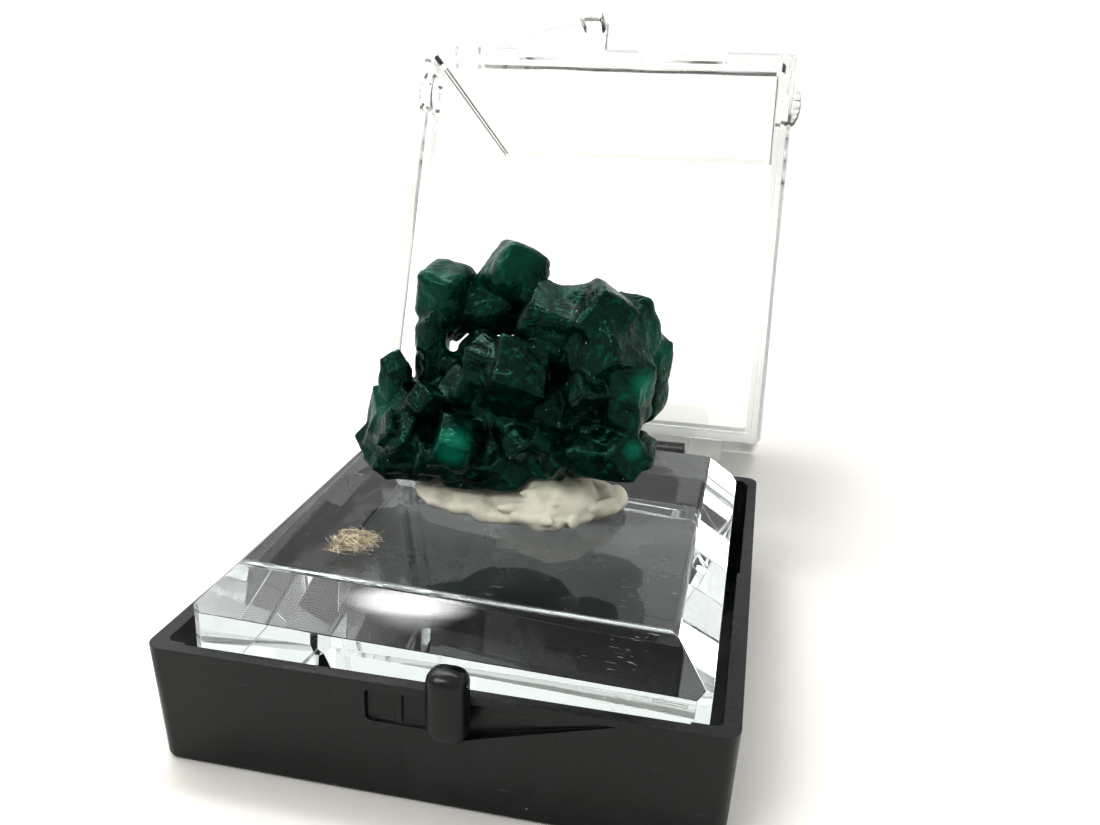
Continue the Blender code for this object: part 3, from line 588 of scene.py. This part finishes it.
def makeLintTree(material):
    tree = bpy.data.node_groups.new("lintFibres", "GeometryNodeTree")
    face = tree.interface
    for name, kind, value in (
        ("Count", "NodeSocketInt", 100), ("Spread", "NodeSocketVector", (0.001, 0.001, 0.0002)),
        ("Length", "NodeSocketFloat", 0.001), ("Radius", "NodeSocketFloat", 0.00002), ("Seed", "NodeSocketInt", 0),
    ):
        face.new_socket(name, in_out="INPUT", socket_type=kind).default_value = value
    face.new_socket("Geometry", in_out="OUTPUT", socket_type="NodeSocketGeometry")
    given = addNode(tree, "NodeGroupInput").outputs
    low = addNode(tree, "ShaderNodeVectorMath", {"operation": "SCALE"}, {0: given["Spread"], "Scale": -1.0})
    spot = addNode(
        tree, "FunctionNodeRandomValue", {"data_type": "FLOAT_VECTOR"},
        {0: low.outputs["Vector"], 1: given["Spread"], "Seed": given["Seed"]},
    )
    points = addNode(tree, "GeometryNodePoints", None, {"Count": given["Count"], "Position": spot.outputs[0]})
    fibre = addNode(
        tree, "GeometryNodeCurveQuadraticBezier", None,
        {"Resolution": 7, "Start": (-0.5, 0, 0), "Middle": lintShape["bend"], "End": (0.5, 0, 0)},
    )
    turn = addNode(
        tree, "FunctionNodeRandomValue", {"data_type": "FLOAT_VECTOR"},
        {0: [-a for a in lintShape["turns"]], 1: lintShape["turns"], "Seed": given["Seed"]},
    )
    size = addNode(
        tree, "FunctionNodeRandomValue", {"data_type": "FLOAT"},
        {2: lintShape["shortest"], 3: 1.0, "Seed": given["Seed"]},
    )
    scaled = addNode(
        tree, "ShaderNodeMath", {"operation": "MULTIPLY"}, {0: size.outputs[1], 1: given["Length"]}
    )
    scattered = addNode(
        tree, "GeometryNodeInstanceOnPoints", None,
        {"Points": points.outputs[0], "Instance": fibre.outputs[0], "Rotation": turn.outputs[0],
         "Scale": scaled.outputs[0]},
    )
    real = addNode(tree, "GeometryNodeRealizeInstances", None, {"Geometry": scattered.outputs[0]})
    profile = addNode(tree, "GeometryNodeCurvePrimitiveCircle", None, {"Resolution": 4, "Radius": given["Radius"]})
    tube = addNode(
        tree, "GeometryNodeCurveToMesh", None,
        {"Curve": real.outputs[0], "Profile Curve": profile.outputs[0], "Fill Caps": True},
    )
    whole = addNode(tree, "GeometryNodeRealizeInstances", None, {"Geometry": tube.outputs[0]})
    dressed = addNode(tree, "GeometryNodeSetMaterial", None, {"Geometry": whole.outputs[0], "Material": material})
    addNode(tree, "NodeGroupOutput", None, {"Geometry": dressed.outputs[0]})
    return tree


def makeLint(material):
    v = lintShape
    tree = makeLintTree(material)
    piece = bpy.data.objects.new("lintFibres", bpy.data.meshes.new("lintFibres"))
    scene.collection.objects.link(piece)
    fibres = piece.modifiers.new("fibres", "NODES")
    fibres.node_group = tree
    values = {
        "Count": v["count"], "Spread": Vector(v["spreadMm"]) * mm, "Length": v["lengthMm"] * mm,
        "Radius": v["radiusMm"] * mm, "Seed": v["seed"],
    }
    for item in tree.interface.items_tree:
        if item.in_out == "INPUT":
            fibres[item.identifier] = values[item.name]
    applyModifiers(piece)
    low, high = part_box("lint_tuft")
    middle = (low + high) / 2 + Vector(v["shiftMm"]) * mm
    for vert in piece.data.vertices:
        local = blockFrame.inverted() @ (vert.co + middle)
        local.z = max(local.z, v["liftMm"] * mm)
        vert.co = blockFrame @ local
    return piece


lintMaterial = makeSpunCottonLint()
lint = makeLint(lintMaterial)
handOver(lint, "lintFibres", "lint_tuft", "base", lintMaterial)

# Floor, light and camera: a white light tent, open and darker on the camera's side
studio = {
    "tent": 1.12, "opening": 0.9, "awayFromOpening": (-0.15, 0.82, 0.55), "gamma": 0.74,
    "floor": "#e3e1dc", "floorRoughness": 0.7, "floorHalfM": 3.0, "floorGapMm": 0.02,
    "keyWatts": 0.5, "keySizeM": 0.25, "keyPlaceM": (-0.18, 0.1, 0.3),
    "lamps": [  # the direction, the cosines where it fades out and is full, and the strength
        ((-0.27, -0.62, 0.735), 0.9962, 0.9993, 30.0),
        ((-0.47, -0.57, 0.67), 0.965, 0.992, 6.5),
    ],
    "stripTowards": (-0.024, 0.27, 0.918), "stripStrength": 8.0, "stripNarrowing": (0.12, 1.0, 1.0),
    "bounces": 24, "glossyBounces": 18, "transmissionBounces": 20,
}
photoCamera = {
    "focalPx": 979.0, "widthPx": 1100, "turnDeg": (71.647, -1.602, 12.553), "placeMm": (16.0, -62.3, 39.5)
}


def makeStudio():
    floorMesh = bpy.data.meshes.new("floor")
    bm = bmesh.new()
    bmesh.ops.create_grid(bm, x_segments=1, y_segments=1, size=studio["floorHalfM"])
    bm.to_mesh(floorMesh)
    bm.free()
    floor = bpy.data.objects.new("floor", floorMesh)
    scene.collection.objects.link(floor)
    floor.location.z = -studio["floorGapMm"] * mm
    paper = bpy.data.materials.new("whitePaper")
    paper.use_nodes = True
    paper.node_tree.nodes["Principled BSDF"].inputs["Base Color"].default_value = hexColor(studio["floor"])
    paper.node_tree.nodes["Principled BSDF"].inputs["Roughness"].default_value = studio["floorRoughness"]
    floorMesh.materials.append(paper)
    world = bpy.data.worlds.new("lightTent")
    scene.world = world
    world.use_nodes = True
    tree = world.node_tree
    direction = addNode(tree, "ShaderNodeTexCoord").outputs["Generated"]
    along = addNode(
        tree, "ShaderNodeVectorMath", {"operation": "DOT_PRODUCT"}, {0: direction, 1: studio["awayFromOpening"]}
    )
    light = addNode(
        tree, "ShaderNodeMapRange", {"interpolation_type": "SMOOTHSTEP"},
        {"Value": along.outputs["Value"], "From Min": -0.45, "From Max": 0.1,
         "To Min": studio["opening"], "To Max": studio["tent"]},
    )
    total = light.outputs["Result"]
    for towards, wide, narrow, strength in studio["lamps"]:
        across = addNode(
            tree, "ShaderNodeVectorMath", {"operation": "DOT_PRODUCT"}, {0: direction, 1: towards}
        )
        lamp = addNode(
            tree, "ShaderNodeMapRange", {"interpolation_type": "SMOOTHSTEP"},
            {"Value": across.outputs["Value"], "From Min": wide, "From Max": narrow, "To Min": 0.0,
             "To Max": strength},
        )
        total = addNode(tree, "ShaderNodeMath", None, {0: total, 1: lamp.outputs["Result"]}).outputs["Value"]
    stretched = addNode(
        tree, "ShaderNodeVectorMath", {"operation": "MULTIPLY"}, {0: direction, 1: studio["stripNarrowing"]}
    )
    strip = addNode(
        tree, "ShaderNodeVectorMath", {"operation": "DISTANCE"},
        {0: stretched.outputs["Vector"], 1: studio["stripTowards"]},
    )
    tube = addNode(
        tree, "ShaderNodeMapRange", {"interpolation_type": "SMOOTHSTEP"},
        {"Value": strip.outputs["Value"], "From Min": 0.05, "From Max": 0.1, "To Min": studio["stripStrength"],
         "To Max": 0.0},
    )
    total = addNode(tree, "ShaderNodeMath", None, {0: total, 1: tube.outputs["Result"]}).outputs["Value"]
    tree.links.new(total, tree.nodes["Background"].inputs["Strength"])
    tree.nodes["Background"].inputs["Color"].default_value = (1, 1, 1, 1)
    key = bpy.data.lights.new("softBox", "AREA")
    key.shape = "RECTANGLE"
    key.size = studio["keySizeM"]
    key.size_y = studio["keySizeM"]
    key.energy = studio["keyWatts"]
    keyObject = bpy.data.objects.new("softBox", key)
    scene.collection.objects.link(keyObject)
    keyObject.location = studio["keyPlaceM"]
    keyObject.rotation_euler = (Vector((0, 0, 0.01)) - keyObject.location).to_track_quat("-Z", "Y").to_euler()


def makeCamera():
    v = photoCamera
    data = bpy.data.cameras.new("photoView")
    data.sensor_width = 36
    data.lens = 36 * v["focalPx"] / v["widthPx"]
    data.clip_start = 0.001
    data.clip_end = 10
    camera = bpy.data.objects.new("photoView", data)
    scene.collection.objects.link(camera)
    camera.location = Vector(v["placeMm"]) * mm
    camera.rotation_euler = [math.radians(a) for a in v["turnDeg"]]
    scene.camera = camera


makeStudio()
makeCamera()
scene.view_settings.view_transform = "Standard"
scene.view_settings.gamma = studio["gamma"]
scene.cycles.max_bounces = studio["bounces"]  # light runs along the clear walls by many inner reflections
scene.cycles.glossy_bounces = studio["glossyBounces"]
scene.cycles.transmission_bounces = studio["transmissionBounces"]
print("Floor, light and camera set")
